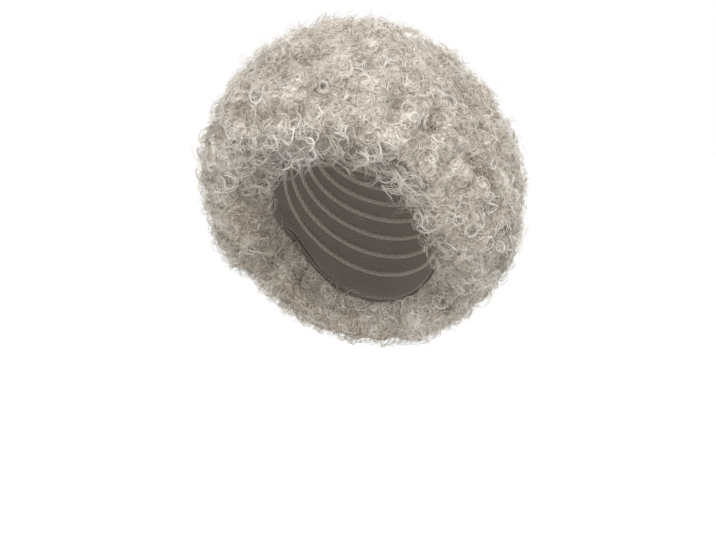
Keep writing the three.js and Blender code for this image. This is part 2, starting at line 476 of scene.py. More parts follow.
class GeometryTree(Graph):
    """A Geometry Nodes tree with named inputs, run on a mesh to make one plain mesh."""

    def __init__(self, name: str, inputs: dict[str, Kind]) -> None:
        """Makes an empty tree.

        Args:
            name: The tree's name.
            inputs: The kind of each named input, besides the mesh and the material.
        """
        super().__init__(bpy.data.node_groups.new(name, "GeometryNodeTree"))
        sockets = self.tree.interface
        sockets.new_socket("Geometry", in_out="INPUT", socket_type="NodeSocketGeometry")
        sockets.new_socket("Geometry", in_out="OUTPUT", socket_type="NodeSocketGeometry")
        self.identifiers = {
            key: sockets.new_socket(key, in_out="INPUT", socket_type=kind.value).identifier
            for key, kind in (inputs | {"Material": Kind.MATERIAL}).items()
        }
        self.given = self.add("NodeGroupInput").outputs
        self.end = self.add("NodeGroupOutput").inputs["Geometry"]

    def store(self, geometry: NodeSocket, name: str, value: Any, domain: str = "POINT",
              kind: str = "FLOAT") -> NodeSocket:
        """Geometry with one more named attribute."""
        inputs = {"Geometry": geometry, "Name": name, "Value": value}
        return self.made("GeometryNodeStoreNamedAttribute", inputs, domain=domain, data_type=kind)

    def read(self, name: Any, kind: str = "FLOAT") -> NodeSocket:
        """The value of a named attribute."""
        return self.made("GeometryNodeInputNamedAttribute", {"Name": name}, data_type=kind)

    def moved(self, geometry: NodeSocket, offset: NodeSocket) -> NodeSocket:
        """Geometry with its points moved."""
        return self.made("GeometryNodeSetPosition", {"Geometry": geometry, "Offset": offset})

    def stretched(self, geometry: NodeSocket, x: Any, y: Any) -> NodeSocket:
        """Geometry stretched about its origin."""
        place = self.vector("MULTIPLY", self.made("GeometryNodeInputPosition"), self.combine(x, y, 1.0))
        return self.made("GeometryNodeSetPosition", {"Geometry": geometry, "Position": place})

    def circle(self, sides: int, radius: Any) -> NodeSocket:
        """A circle of so many straight sides, as a section."""
        return self.made("GeometryNodeCurvePrimitiveCircle", {"Resolution": sides, "Radius": radius})

    def swept(self, path: NodeSocket, section: NodeSocket, scale: Any = 1.0) -> NodeSocket:
        """A section swept along a path, closed at its ends."""
        inputs = {"Curve": path, "Profile Curve": section, "Scale": scale, "Fill Caps": True}
        return self.made("GeometryNodeCurveToMesh", inputs)

    def turned(self, rotation: NodeSocket, x: Any, y: Any, z: Any) -> NodeSocket:
        """A rotation turned on about its own axes."""
        more = self.made("FunctionNodeEulerToRotation", {0: self.combine(x, y, z)})
        return self.made("FunctionNodeRotateRotation", {0: rotation, 1: more}, rotation_space="LOCAL")

    def finish(self, geometry: NodeSocket) -> None:
        """Ends the tree: instances are made real and the material is set.

        Args:
            geometry: What the tree has made.
        """
        real = self.made("GeometryNodeRealizeInstances", {"Geometry": geometry})
        smooth = self.made("GeometryNodeSetShadeSmooth", {"Geometry": real})
        dressed = {"Geometry": smooth, "Material": self.given["Material"]}
        self.give(self.end, self.made("GeometryNodeSetMaterial", dressed))

    def run(self, name: str, source: Mesh, values: dict[str, Any]) -> Object:
        """Runs the tree on a mesh.

        Args:
            name: The new piece's name.
            source: The mesh that the tree reads.
            values: The named inputs' values.

        Returns:
            The piece, with the result as its plain mesh.
        """
        piece = new_object(name, source)
        modifier = piece.modifiers.new(self.tree.name, "NODES")
        modifier.node_group = self.tree
        for key, value in values.items():
            modifier[self.identifiers[key]] = value
        depsgraph = bpy.context.evaluated_depsgraph_get()
        made = bpy.data.meshes.new_from_object(
            piece.evaluated_get(depsgraph), preserve_all_data_layers=True, depsgraph=depsgraph
        )
        piece.modifiers.remove(modifier)
        piece.data = made
        made.name = name
        return piece


class CurlTree(GeometryTree):
    """Grows curls on the faces that a named attribute marks: spirals that stand on them, tilted and warped.

    SHAPES holds the spirals to choose from, as shares of the given turns, first and last radius, and height.
    PARTING and BENDING hold the shares of both at a strand's root and at its tip, BENDS the fineness and
    share of each bend, and GIRTH the range of a curl's thickness. The chances scatter a curl's tone, which
    holds the painted light and shade of the lumps too, into other numbers.
    """

    SHAPES = ((1.0, 0.85, 1.0, 1.0), (0.9, 1.0, 0.78, 0.7), (1.15, 0.7, 0.95, 1.25), (0.75, 1.1, 1.0, 0.6))
    SEGMENTS_PER_TURN = 11
    SIDES = 3
    CROWD = 3.0
    TINT_PLAY = 0.42
    PARTING = (0.6, 1.3)
    PARTING_CHANCE = 977.0
    PARTING_SEED = 0.5
    TWIST = 3.0
    TWIST_CHANCE = 53.0
    BENDS = ((45.0, 1.0), (170.0, 0.3))
    BENDING = (0.25, 1.0)
    BEND_CHANCES = (7.0, 0.06)
    SWING = 4.0
    GIRTH = (0.65, 1.35)
    GIRTH_CHANCE = 37.0
    TIP_POWER = 4.0
    TIP_LOSS = 0.85
    COLUMN_MARGIN = (0.06, 0.94)
    LENGTH_MARGIN = (0.02, 0.98)
    MIDDLE = (0.5, 0.5, 0.5)

    def __init__(self, columns: int) -> None:
        """Builds the tree.

        Args:
            columns: The columns of the curls' map, one to a shade.
        """
        numbers = ("Spacing", "Radius", "Turns", "Height", "Width", "Flat", "Part", "Tilt", "Warp", "Vary")
        kinds = {"Where": Kind.NAME, "Strands": Kind.COUNT, "Seed": Kind.COUNT}
        super().__init__("grow_curls", kinds | dict.fromkeys(numbers, Kind.NUMBER))
        roots = self._roots()
        tilt, vary = self.given["Tilt"], self.given["Vary"]
        lean, nod = (self.times(self._random(-1.0, 1.0, step), tilt) for step in (2, 3))
        spin = self._random(-math.pi, math.pi, 4)
        size = self._random(self.math("SUBTRACT", 1.0, vary), self.plus(1.0, vary), 5)
        choice = {4: 0, 5: len(self.SHAPES) - 1, 8: self._seed(6)}
        pick = self.add("FunctionNodeRandomValue", choice, data_type="INT").outputs[2]
        # A curl's tone: the painted light and shade of the lumps, lighter on their tops and darker in the
        # hollows, strayed by a random tone of its own.
        shade = self.plus(self.read("lump"), self._random(-self.TINT_PLAY, self.TINT_PLAY, 1))
        shade = self.math("MINIMUM", self.math("MAXIMUM", shade, 0.0), 1.0)
        curls = self.made("GeometryNodeInstanceOnPoints", {
            "Points": self.store(roots["Points"], "tint", shade), "Instance": self._spirals(),
            "Pick Instance": True, "Instance Index": pick, "Scale": size,
            "Rotation": self.turned(roots["Rotation"], lean, nod, spin),
        })
        curls = self._parted(self.made("GeometryNodeRealizeInstances", {0: curls}))
        self.finish(self._mapped(self._tubes(self._warped(curls)), columns))

    def _seed(self, step: int) -> NodeSocket:
        """The tree's seed moved on by a step."""
        return self.plus(self.given["Seed"], float(step))

    def _random(self, low: Any, high: Any, step: int) -> NodeSocket:
        """A random number for each curl, in a range."""
        inputs = {2: low, 3: high, 8: self._seed(step)}
        return self.add("FunctionNodeRandomValue", inputs, data_type="FLOAT").outputs[1]

    def _chance(self, factor: float) -> NodeSocket:
        """A number from 0 to 1 for each curl, worked out from its tone and painted shade."""
        return self.math("FRACT", self.times(self.read("tint"), factor))

    def _roots(self) -> Any:
        """Scatters the curls' roots evenly over the marked faces.

        Returns:
            The outputs of the node that scatters them.
        """
        spacing = self.given["Spacing"]
        return self.add("GeometryNodeDistributePointsOnFaces", {
            "Mesh": self.given["Geometry"], "Distance Min": spacing, "Seed": self.given["Seed"],
            "Density Max": self.math("DIVIDE", self.CROWD, self.times(spacing, spacing)),
            "Density Factor": self.read(self.given["Where"]),
        }, distribute_method="POISSON").outputs

    def _spirals(self) -> NodeSocket:
        """Makes one spiral of each shape.

        Returns:
            The spirals, as instances to pick from.
        """
        spirals = self.add("GeometryNodeJoinGeometry")
        for turns, start, end, height in reversed(self.SHAPES):
            spiral = self.made("GeometryNodeCurveSpiral", {
                "Resolution": self.SEGMENTS_PER_TURN, "Rotations": self.times(self.given["Turns"], turns),
                "Start Radius": self.times(self.given["Radius"], start),
                "End Radius": self.times(self.given["Radius"], end),
                "Height": self.times(self.given["Height"], height),
            })
            self.give(spirals.inputs[0], self.made("GeometryNodeGeometryToInstance", {0: spiral}))
        return spirals.outputs[0]

    def _parted(self, curls: NodeSocket) -> NodeSocket:
        """Parts each curl into strands that run side by side and spread towards their tips.

        Args:
            curls: The curls.

        Returns:
            The strands.
        """
        along = self.add("GeometryNodeSplineParameter").outputs["Factor"]
        copies = {"Geometry": self.store(curls, "along", along), "Amount": self.given["Strands"]}
        strands = self.add("GeometryNodeDuplicateElements", copies, domain="SPLINE").outputs
        own = self.combine(self.times(self.read("tint"), self.PARTING_CHANCE), strands[1], self.PARTING_SEED)
        chance = self.add("ShaderNodeTexWhiteNoise", {"Vector": own}, noise_dimensions="3D").outputs["Color"]
        apart = self.scaled(self.vector("SUBTRACT", chance, self.MIDDLE), self.times(self.given["Part"], 2.0))
        apart = self.scaled(apart, self.spread(self.read("along"), *self.PARTING))
        numbered = self.store(self.moved(strands[0], apart), "strand", strands[1])
        twist = self.times(self._chance(self.TWIST_CHANCE), self.TWIST)
        return self.made("GeometryNodeSetCurveTilt", {0: numbered, 2: twist})

    def _warped(self, curls: NodeSocket) -> NodeSocket:
        """Bends the strands, more towards their tips, and kinks them finely.

        Args:
            curls: The strands.

        Returns:
            The bent strands.
        """
        place = self.made("GeometryNodeInputPosition")
        by_curl, by_strand = self.BEND_CHANCES
        own = self.plus(self.times(self.read("tint"), by_curl), self.times(self.read("strand"), by_strand))
        swings = []
        for fineness, share in self.BENDS:
            wind = self.noise(place, fineness, detail=1.0, own=own)["Color"]
            swings.append(self.scaled(self.vector("SUBTRACT", wind, self.MIDDLE), self.SWING * share))
        reach = self.times(self.spread(self.read("along"), *self.BENDING), self.given["Warp"])
        return self.moved(curls, self.scaled(self.vector("ADD", *swings), reach))

    def _tubes(self, curls: NodeSocket) -> NodeSocket:
        """Gives the strands their body: a flat section that runs out to a fine tip.

        Args:
            curls: The strands.

        Returns:
            Their mesh.
        """
        ring = self.circle(self.SIDES, self.times(self.given["Width"], 0.5))
        across = self.times(self.made("GeometryNodeInputIndex"), 1.0 / (self.SIDES - 1))
        section = self.stretched(self.store(ring, "across", across), 1.0, self.given["Flat"])
        lost = self.times(self.math("POWER", self.read("along"), self.TIP_POWER), self.TIP_LOSS)
        girth = self.spread(self._chance(self.GIRTH_CHANCE), *self.GIRTH)
        return self.swept(curls, section, self.times(self.math("SUBTRACT", 1.0, lost), girth))

    def _mapped(self, curls: NodeSocket, columns: int) -> NodeSocket:
        """Lays the curls on their map, each in the column of its shade, and drops what was noted on the way.

        Args:
            curls: The curls' mesh.
            columns: The columns of the map.

        Returns:
            The mesh with its map.
        """
        column = self.math("FLOOR", self.times(self.read("tint"), columns - NUDGE))
        across = self.plus(column, self.spread(self.read("across"), *self.COLUMN_MARGIN))
        along = self.spread(self.read("along"), *self.LENGTH_MARGIN)
        place = self.combine(self.math("DIVIDE", across, float(columns)), along, 0.0)
        mapped = self.store(curls, CURL_MAP, place, "CORNER", "FLOAT2")
        for name in ("tint", "along", "across", "strand", "lump"):
            mapped = self.made("GeometryNodeRemoveAttribute", {"Geometry": mapped, "Name": name})
        return mapped


class TapeTree(GeometryTree):
    """Lays a flat rounded tape along paths, with its broad side to the direction stored as up."""

    SIDES = 8
    SIDE_ON_MAP = 0.001

    def __init__(self) -> None:
        """Builds the tree."""
        super().__init__("lay_tape", dict.fromkeys(("Width", "Rise"), Kind.NUMBER))
        length = self.add("GeometryNodeSplineParameter").outputs["Length"]
        path = self.store(self.made("GeometryNodeMeshToCurve", {0: self.given["Geometry"]}), "run", length)
        up = {"Curve": path, "Normal": self.read("up", "FLOAT_VECTOR")}
        path = self.made("GeometryNodeSetCurveNormal", up, mode="FREE")
        ring = self.store(self.circle(self.SIDES, 0.5), "side", self.made("GeometryNodeInputIndex"))
        tape = self.swept(path, self.stretched(ring, self.given["Rise"], self.given["Width"]))
        place = self.combine(self.read("run"), self.times(self.read("side"), self.SIDE_ON_MAP), 0.0)
        self.finish(self.store(tape, FACE_MAP, place, "CORNER", "FLOAT2"))


class StitchTree(GeometryTree):
    """Sews a zigzag of short thread arcs along paths, standing on the side stored as up.

    ARC_RISE and ARC_SINK are the heights of an arc's middle and of its ends, in widths of the thread.
    """

    SIDES = 3
    ARC_STEPS = 3
    ARC_RISE = 1.6
    ARC_SINK = -0.5

    def __init__(self) -> None:
        """Builds the tree."""
        super().__init__("sew_stitches", dict.fromkeys(("Pitch", "Length", "Thread", "Slant"), Kind.NUMBER))
        path = self.made("GeometryNodeMeshToCurve", {0: self.given["Geometry"]})
        paced = {"Curve": path, "Length": self.given["Pitch"]}
        points = self.add("GeometryNodeCurveToPoints", paced, mode="LENGTH").outputs
        axes = {0: self.read("up", "FLOAT_VECTOR"), 1: points["Tangent"]}
        upright = self.made("FunctionNodeAxesToRotation", axes, primary_axis="Z", secondary_axis="X")
        odd = self.math("MODULO", self.made("GeometryNodeInputIndex"), 2.0)
        to_and_fro = self.math("SUBTRACT", self.times(odd, 2.0), 1.0)
        slanted = self.turned(upright, 0.0, 0.0, self.times(to_and_fro, self.given["Slant"]))
        sewn = {"Points": points["Points"], "Instance": self._stitch(), "Rotation": slanted}
        self.finish(self.made("GeometryNodeInstanceOnPoints", sewn))

    def _stitch(self) -> NodeSocket:
        """Makes one stitch.

        Returns:
            Its mesh.
        """
        thread, half = self.given["Thread"], self.times(self.given["Length"], 0.5)
        sunk = self.times(thread, self.ARC_SINK)
        arc = self.made("GeometryNodeCurveQuadraticBezier", {
            "Resolution": self.ARC_STEPS, "Start": self.combine(self.times(half, -1.0), 0.0, sunk),
            "Middle": self.combine(0.0, 0.0, self.times(thread, self.ARC_RISE)),
            "End": self.combine(half, 0.0, sunk),
        })
        return self.swept(arc, self.circle(self.SIDES, self.times(thread, 0.5)))


@dataclass(frozen=True)
class CurlStyle:
    """One kind of curl, in millimetres and degrees.

    where names the faces that it grows on. part is how far its strands stand apart, warp how far they bend,
    and vary the share by which its size may differ.
    """

    name: str
    where: str
    spacing: float
    radius: float
    turns: float
    height: float
    width: float
    strands: int
    part: float
    tilt: float
    warp: float
    flat: float = 0.8
    vary: float = 0.3

    def inputs(self, seed: int, material: Material) -> dict[str, Any]:
        """The tree's input values for this kind.

        Args:
            seed: The seed of everything random.
            material: The curls' material.

        Returns:
            The values by input name.
        """
        lengths = {
            "Spacing": self.spacing, "Radius": self.radius, "Height": self.height,
            "Width": self.width, "Part": self.part, "Warp": self.warp,
        }
        return {name: length * MM for name, length in lengths.items()} | {
            "Where": self.where, "Turns": self.turns, "Flat": self.flat, "Strands": self.strands,
            "Tilt": math.radians(self.tilt), "Vary": self.vary, "Seed": seed, "Material": material,
        }


class Curls(Enum):
    """The kinds of curl: name, where, spacing, radius, turns, height, width, strands, part, tilt and warp."""

    RINGS = CurlStyle("rings", "outer", 9.6, 5.9, 1.35, 5.5, 0.48, 3, 1.6, 45.0, 1.4)
    LOOPS = CurlStyle("loops", "outer", 10.9, 5.3, 1.3, 4.5, 0.48, 2, 1.5, 95.0, 1.8)
    COILS = CurlStyle("coils", "outer", 16.5, 4.4, 1.6, 11.0, 0.48, 2, 1.2, 80.0, 2.2)
    FRIZZ = CurlStyle("frizz", "outer", 8.2, 5.0, 1.1, 8.0, 0.36, 1, 0.0, 80.0, 2.8)
    WISPS = CurlStyle("wisps", "outer", 11.2, 5.5, 0.8, 12.0, 0.26, 1, 0.0, 60.0, 3.0)
    TIPS = CurlStyle("tips", "rim", 5.6, 6.0, 1.6, 15.0, 0.52, 2, 1.6, 55.0, 2.5)
    FORELOCKS = CurlStyle("forelocks", "rim", 8.2, 6.2, 1.5, 22.0, 0.55, 3, 1.8, 40.0, 2.0)


@dataclass(frozen=True)
class Patch:
    """The part of the ball that one packed row covers: angles out from the whorl and turns about its axis.

    An end of None is the edge of the hair.
    """

    node: str
    out_from: float
    out_to: float | None
    turn_from: float = 0.0
    turn_to: float = 360.0

    @property
    def whole(self) -> bool:
        """Whether the patch goes all the way round."""
        return self.turn_to - self.turn_from == 360.0


FRINGE = "fringe_curls"
PATCHES = (
    Patch("crown_curls", 0.0, 24.0),
    Patch("upper_row_curls", 24.0, 54.0),
    Patch("middle_row_curls", 54.0, 84.0),
    Patch("lower_row_curls", 84.0, 99.0),
    Patch(FRINGE, 99.0, None, -57.0, 57.0),
    Patch("left_side_curls", 99.0, None, 57.0, 140.0),
    Patch("nape_curls", 99.0, None, 140.0, 220.0),
    Patch("right_side_curls", 99.0, None, 220.0, 303.0),
)

# The underhair ends so many degrees short of the solids' edge at these turns, to leave room for the tips.
EDGE_TURNS = (0.0, 42.0, 80.0, 140.0, 180.0, 215.0, 245.0, 280.0, 318.0, 360.0)
SHORT_OF_EDGE = (11.5, 11.5, 7.0, 7.0, 6.0, 4.0, 1.0, 2.0, 11.5, 11.5)

# The middle of the ball of hair, and the axes of the whorl at the back of the crown.
CENTRE = Vector((0.0, 0.010, -0.055))
WHORL_TILT = math.radians(54.0)
WHORL = Vector((0.0, math.cos(WHORL_TILT), math.sin(WHORL_TILT)))
FORE = Vector((0.0, -math.sin(WHORL_TILT), math.cos(WHORL_TILT)))
SIDE = Vector((1.0, 0.0, 0.0))


def direction(out: float, turn: float) -> Vector:
    """The direction at an angle out from the whorl and a turn about its axis, in degrees."""
    out, turn = math.radians(out), math.radians(turn)
    return WHORL * math.cos(out) + (FORE * math.cos(turn) + SIDE * math.sin(turn)) * math.sin(out)


class Part(Enum):
    """The faces of a block: away from the hollow, towards it, in its last and first rows, and at its ends."""

    FAR = 0
    NEAR = 1
    LAST = 2
    FIRST = 3
    SIDE = 4


class Block:
    """A closed block between two grids of points, by row out from the whorl and by turn."""

    def __init__(self, far: list[list[Vector]], near: list[list[Vector]], whole: bool, pole: bool) -> None:
        """Joins the grids.

        Args:
            far: Points of the face away from the hollow.
            near: Points of the face towards the hollow.
            whole: Whether the rows close on themselves.
            pole: Whether the first row is one point.
        """
        self.width, self.size, self.pole = len(far[0]), len(far) * len(far[0]), pole
        self.points = [point for grid in (far, near) for row in grid for point in row]
        self.faces: list[tuple[int, ...]] = []
        self.parts: list[Part] = []
        self.cells: list[tuple[int, int]] = []
        top, foot, last = self._top, self._foot, len(far) - 1
        for j in range(self.width if whole else self.width - 1):
            for i in range(last):
                self._face(Part.FAR, i, j, top(i, j), top(i + 1, j), top(i + 1, j + 1), top(i, j + 1))
                self._face(Part.NEAR, i, j, foot(i, j + 1), foot(i + 1, j + 1), foot(i + 1, j), foot(i, j))
            self._face(Part.LAST, last, j, top(last, j), foot(last, j), foot(last, j + 1), top(last, j + 1))
            if not pole:
                self._face(Part.FIRST, 0, j, top(0, j + 1), foot(0, j + 1), foot(0, j), top(0, j))
        for i in range(0 if whole else last):
            j = self.width - 1
            self._face(Part.SIDE, i, 0, top(i, 0), foot(i, 0), foot(i + 1, 0), top(i + 1, 0))
            self._face(Part.SIDE, i, j, top(i + 1, j), foot(i + 1, j), foot(i, j), top(i, j))

    def _top(self, i: int, j: int) -> int:
        """The number of a point of the far face."""
        return i * self.width + (0 if self.pole and i == 0 else j % self.width)

    def _foot(self, i: int, j: int) -> int:
        """The number of a point of the near face."""
        return self.size + self._top(i, j)

    def _face(self, part: Part, row: int, column: int, *corners: int) -> None:
        """Adds one face, without the corners that fall together.

        Args:
            part: The part of the block that it belongs to.
            row: Its row on the grid.
            column: Its column on the grid.
            corners: The numbers of its points.
        """
        self.faces.append(tuple(c for k, c in enumerate(corners) if c != corners[k - 1]))
        self.parts.append(part)
        self.cells.append((row, column))

    @property
    def used(self) -> list[int]:
        """The grid points that faces use."""
        return sorted({corner for face in self.faces for corner in face})

    def kept(self, values: list[Any]) -> list[Any]:
        """The values of the points that are used, out of one for each grid point."""
        return [values[corner] for corner in self.used]

    def mesh(self, name: str, material: Material) -> Mesh:
        """The block as a smooth-shaded mesh.

        Args:
            name: The mesh's name.
            material: Its material.

        Returns:
            The mesh.
        """
        places = {corner: k for k, corner in enumerate(self.used)}
        made = bpy.data.meshes.new(name)
        made.from_pydata(self.kept(self.points), [], [tuple(places[c] for c in face) for face in self.faces])
        made.materials.append(material)
        made.shade_smooth()
        return made


def mark(mesh: Mesh, name: str, domain: str, values: list[float]) -> None:
    """Stores a number on each face or point of a mesh."""
    mesh.attributes.new(name, "FLOAT", domain).data.foreach_set("value", values)


def map_faces(mesh: Mesh, places: dict[int, tuple[float, float]], wrap: float | None = None) -> None:
    """Stores a map in metres on a mesh.

    Args:
        mesh: The mesh.
        places: The map's place of each point.
        wrap: The length after which the map starts again, if it goes round.
    """
    layer = mesh.uv_layers.new(name=FACE_MAP)
    for face in mesh.polygons:
        spots = [places[mesh.loops[k].vertex_index] for k in face.loop_indices]
        longest = max(x for x, _ in spots)
        for k, (x, y) in zip(face.loop_indices, spots):
            layer.data[k].uv = (x + wrap if wrap and longest - x > wrap / 2 else x, y)


def path_mesh(name: str, paths: list[list[Lift]]) -> Mesh:
    """Closed paths as a mesh of edges, each point with its direction up.

    Args:
        name: The mesh's name.
        paths: For each path its points with their directions.

    Returns:
        The mesh.
    """
    points, ups, edges = [], [], []
    for path in paths:
        first = len(points)
        count = len(path)
        points.extend(point for point, _ in path)
        ups.extend(value for _, up in path for value in up)
        edges.extend((first + k, first + (k + 1) % count) for k in range(count))
    made = bpy.data.meshes.new(name)
    made.from_pydata(points, edges, [])
    made.attributes.new("up", "FLOAT_VECTOR", "POINT").data.foreach_set("vector", ups)
    return made


def full_turn(columns: int) -> np.ndarray:
    """So many turns evenly all the way round, in degrees."""
    return np.linspace(0.0, 360.0, columns, endpoint=False)


def solid_tree(names: tuple[str, ...]) -> BVHTree:
    """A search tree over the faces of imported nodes.

    Args:
        names: The nodes.

    Returns:
        The tree.
    """
    corners: list[Vector] = []
    faces: list[tuple[int, ...]] = []
    for name in names:
        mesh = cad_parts[name].data
        first = len(corners)
        corners.extend(vertex.co.copy() for vertex in mesh.vertices)
        faces.extend(tuple(first + k for k in face.vertices) for face in mesh.polygons)
    return BVHTree.FromPolygons(corners, faces)


@dataclass
class Shell:
    """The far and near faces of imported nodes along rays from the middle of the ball, smoothed.

    step is the angle between two rays and soften the angle that the faces are smoothed by, in degrees. BROAD
    is the same for the broad face, and EDGE_SOFTEN for the edges. REACH is the length of a ray in metres.
    """

    nodes: tuple[str, ...]
    step: float
    soften: float
    REACH = 0.3
    BROAD = 8.0
    EDGE_SOFTEN = 3.0
    LAST_OUT = 141.0
    LEAST_ARC = 0.05
    MOST_ROUND = 60.0
    LEAST_SHARE = 1e-6
    BELL_REACH = 3

    def __post_init__(self) -> None:
        """Casts the rays and smooths what they find."""
        solids = solid_tree(self.nodes)
        self.outs = np.arange(0.0, self.LAST_OUT, self.step)
        self.turns = np.arange(0.0, 360.0, self.step)
        far = np.zeros((len(self.outs), len(self.turns)))
        near = np.zeros_like(far)
        for i, out in enumerate(self.outs):
            for j, turn in enumerate(self.turns):
                way = direction(out, turn)
                back = solids.ray_cast(CENTRE + way * self.REACH, -way, self.REACH)
                if back[0]:
                    far[i, j] = self.REACH - back[3]
                    near[i, j] = solids.ray_cast(CENTRE, way)[3]
        found = far > 0.0
        reached = [self.outs[found[:, j]] for j in range(len(self.turns))]
        self.first = self._round(np.array([outs.min() for outs in reached]), self.EDGE_SOFTEN)
        self.last = self._round(np.array([outs.max() for outs in reached]), self.EDGE_SOFTEN)
        self.far = self._face(far, found, self.soften)
        self.near = self._face(near, found, self.soften)
        self.broad = self._face(far, found, self.BROAD)

    def _face(self, grid: np.ndarray, found: np.ndarray, width: float) -> np.ndarray:
        """A face smoothed by a width in degrees, from the rays that found it alone."""
        share = np.maximum(self._smooth(found.astype(float), width), self.LEAST_SHARE)
        return self._smooth(grid, width) / share

    def _bell(self, width: float) -> np.ndarray:
        """A bell curve over whole steps, by a width in degrees.

        Args:
            width: Its width.

        Returns:
            Its values, which add up to one.
        """
        reach = int(math.ceil(self.BELL_REACH * width / self.step))
        bell = np.exp(-0.5 * (np.arange(-reach, reach + 1) * self.step / width) ** 2)
        return bell / bell.sum()

    def _round(self, values: np.ndarray, width: float) -> np.ndarray:
        """Values smoothed round the turns, by a width in degrees."""
        bell = self._bell(width)
        return sum(w * np.roll(values, k - len(bell) // 2, axis=-1) for k, w in enumerate(bell))

    def _smooth(self, grid: np.ndarray, width: float) -> np.ndarray:
        """Smooths a grid of reaches evenly over the ball.

        Args:
            grid: The reaches by angle out and by turn.
            width: How far to smooth, in degrees.

        Returns:
            The smoothed grid.
        """
        arcs = np.maximum(np.sin(np.radians(self.outs)), self.LEAST_ARC)
        grid = np.array([self._round(row, min(width / arc, self.MOST_ROUND)) for row, arc in zip(grid, arcs)])
        bell = self._bell(width)
        reach = len(bell) // 2
        padded = np.pad(grid, ((reach, reach), (0, 0)), mode="edge")
        return sum(w * padded[k:k + len(grid)] for k, w in enumerate(bell))

    def at(self, grid: np.ndarray, out: float, turn: float) -> float:
        """A grid's value between its steps.

        Args:
            grid: far, near or broad.
            out: Angle out from the whorl, in degrees.
            turn: Turn about the axis, in degrees.

        Returns:
            The reach from the middle of the ball.
        """
        x, y = min(max(out / self.step, 0.0), len(self.outs) - 1 - NUDGE), (turn % 360.0) / self.step
        i, j = int(x), int(y) % len(self.turns)
        a, b = x - i, y - int(y)
        k = (j + 1) % len(self.turns)
        low = (1 - b) * grid[i, j] + b * grid[i, k]
        high = (1 - b) * grid[i + 1, j] + b * grid[i + 1, k]
        return float((1 - a) * low + a * high)

    def limit(self, limits: np.ndarray, turn: float) -> float:
        """The first or last angle out at a turn, in degrees."""
        return float(np.interp(turn % 360.0, np.append(self.turns, 360.0), np.append(limits, limits[0])))

    def point(self, grid: np.ndarray, out: float, turn: float) -> Vector:
        """The point of a face at two angles."""
        return CENTRE + direction(out, turn) * self.at(grid, out, turn)

    def wall(self, outs: list[list[float]], turns: np.ndarray, pole: bool) -> Block:
        """The closed wall between the near and far faces, all the way round.

        Args:
            outs: For each row its angles out, one to a turn.
            turns: The turns.
            pole: Whether the first row is one point.

        Returns:
            The wall.
        """
        far, near = (
            [[self.point(grid, out, turn) for out, turn in zip(row, turns)] for row in outs]
            for grid in (self.far, self.near)
        )
        return Block(far, near, True, pole)


def lifted(spot: Spots, across: float, turn: float, reach: Range, lift: float) -> Lift:
    """A spot of a thin piece's inner face, lifted into the hollow.

    Args:
        spot: Gives the face's point at a measure across it and a turn.
        across: The measure across.
        turn: The turn, in degrees.
        reach: How far apart spots are taken to find the face's slope, across and in degrees.
        lift: How far the spot is lifted, in millimetres.

    Returns:
        The lifted point and the direction of the lift.
    """
    a, t = reach
    here = spot(across, turn)
    down = spot(across + a, turn) - spot(across - a, turn)
    up = down.cross(spot(across, turn + t) - spot(across, turn - t)).normalized()
    up = up if up.dot(here - CENTRE) < 0.0 else -up
    return here + up * lift * MM, up


@dataclass(frozen=True)
class Seam:
    """A zigzag seam, in millimetres and degrees."""

    pitch: float
    length: float
    thread: float
    slant: float

    def inputs(self, material: Material) -> dict[str, Any]:
        """The stitch tree's input values for this seam."""
        sizes = {"Pitch": self.pitch * MM, "Length": self.length * MM, "Thread": self.thread * MM}
        return sizes | {"Slant": math.radians(self.slant), "Material": material}


@dataclass
class NetCap:
    """The net cap: a thin dome open below and in front, with sewn tracks of hair on its inside.

    Lengths are in millimetres, and the tracks' pitch and end are angles out from the whorl.
    """

    shell: Shell
    columns: int = 96
    rows: int = 32
    map_radius: float = 90.0
    track_pitch: float = 9.0
    tracks_to: float = 101.0
    track_width: float = 5.0
    track_rise: float = 1.4
    track_points: int = 110
    fewest_points: int = 32
    slope_reach: Range = (2.0, 3.0)
    seam: Seam = Seam(pitch=3.4, length=5.0, thread=0.65, slant=38.0)

    def spot(self, out: float, turn: float) -> Vector:
        """A point on the inside of the cap."""
        return self.shell.point(self.shell.near, out, turn)

    def build(self) -> None:
        """Builds the dome and ties it to the frame."""
        turns = full_turn(self.columns)
        ends = [self.shell.limit(self.shell.last, turn) for turn in turns]
        outs = [[end * i / self.rows for end in ends] for i in range(self.rows + 1)]
        mesh = self.shell.wall(outs, turns, True).mesh("net_cap", NetFinish().material())
        places = {}
        for vertex in mesh.vertices:
            way = (vertex.co - CENTRE).normalized()
            reach = self.map_radius * MM * math.acos(max(-1.0, min(1.0, way.dot(WHORL))))
            turn = math.atan2(way.dot(SIDE), way.dot(FORE))
            places[vertex.index] = (reach * math.cos(turn), reach * math.sin(turn))
        map_faces(mesh, places)
        keep(new_object("net_cap", mesh), Slot.NET, "cap")

    def dress(self, tape: TapeTree, stitches: StitchTree, thread: Material) -> None:
        """Sews the tracks to the inside of the cap.

        Args:
            tape: The tree that lays the tracks.
            stitches: The tree that sews them.
            thread: The sewing thread's material.
        """
        rise, reach = 0.5 * self.track_rise, self.slope_reach
        low, high = [], []
        for out in np.arange(self.track_pitch, self.tracks_to, self.track_pitch):
            count = max(self.fewest_points, round(self.track_points * math.sin(math.radians(out))))
            for path, lift in ((low, 0.0), (high, rise)):
                path.append([lifted(self.spot, out, turn, reach, lift) for turn in full_turn(count)])
        sizes = {"Width": self.track_width * MM, "Rise": self.track_rise * MM}
        roots = {"Material": WeftFinish().material()}
        keep(tape.run("weft_tracks", path_mesh("weft_paths", low), sizes | roots), Slot.HAIR)
        seams = path_mesh("weft_seams", high)
        keep(stitches.run("weft_stitches", seams, self.seam.inputs(thread)), Slot.NET)


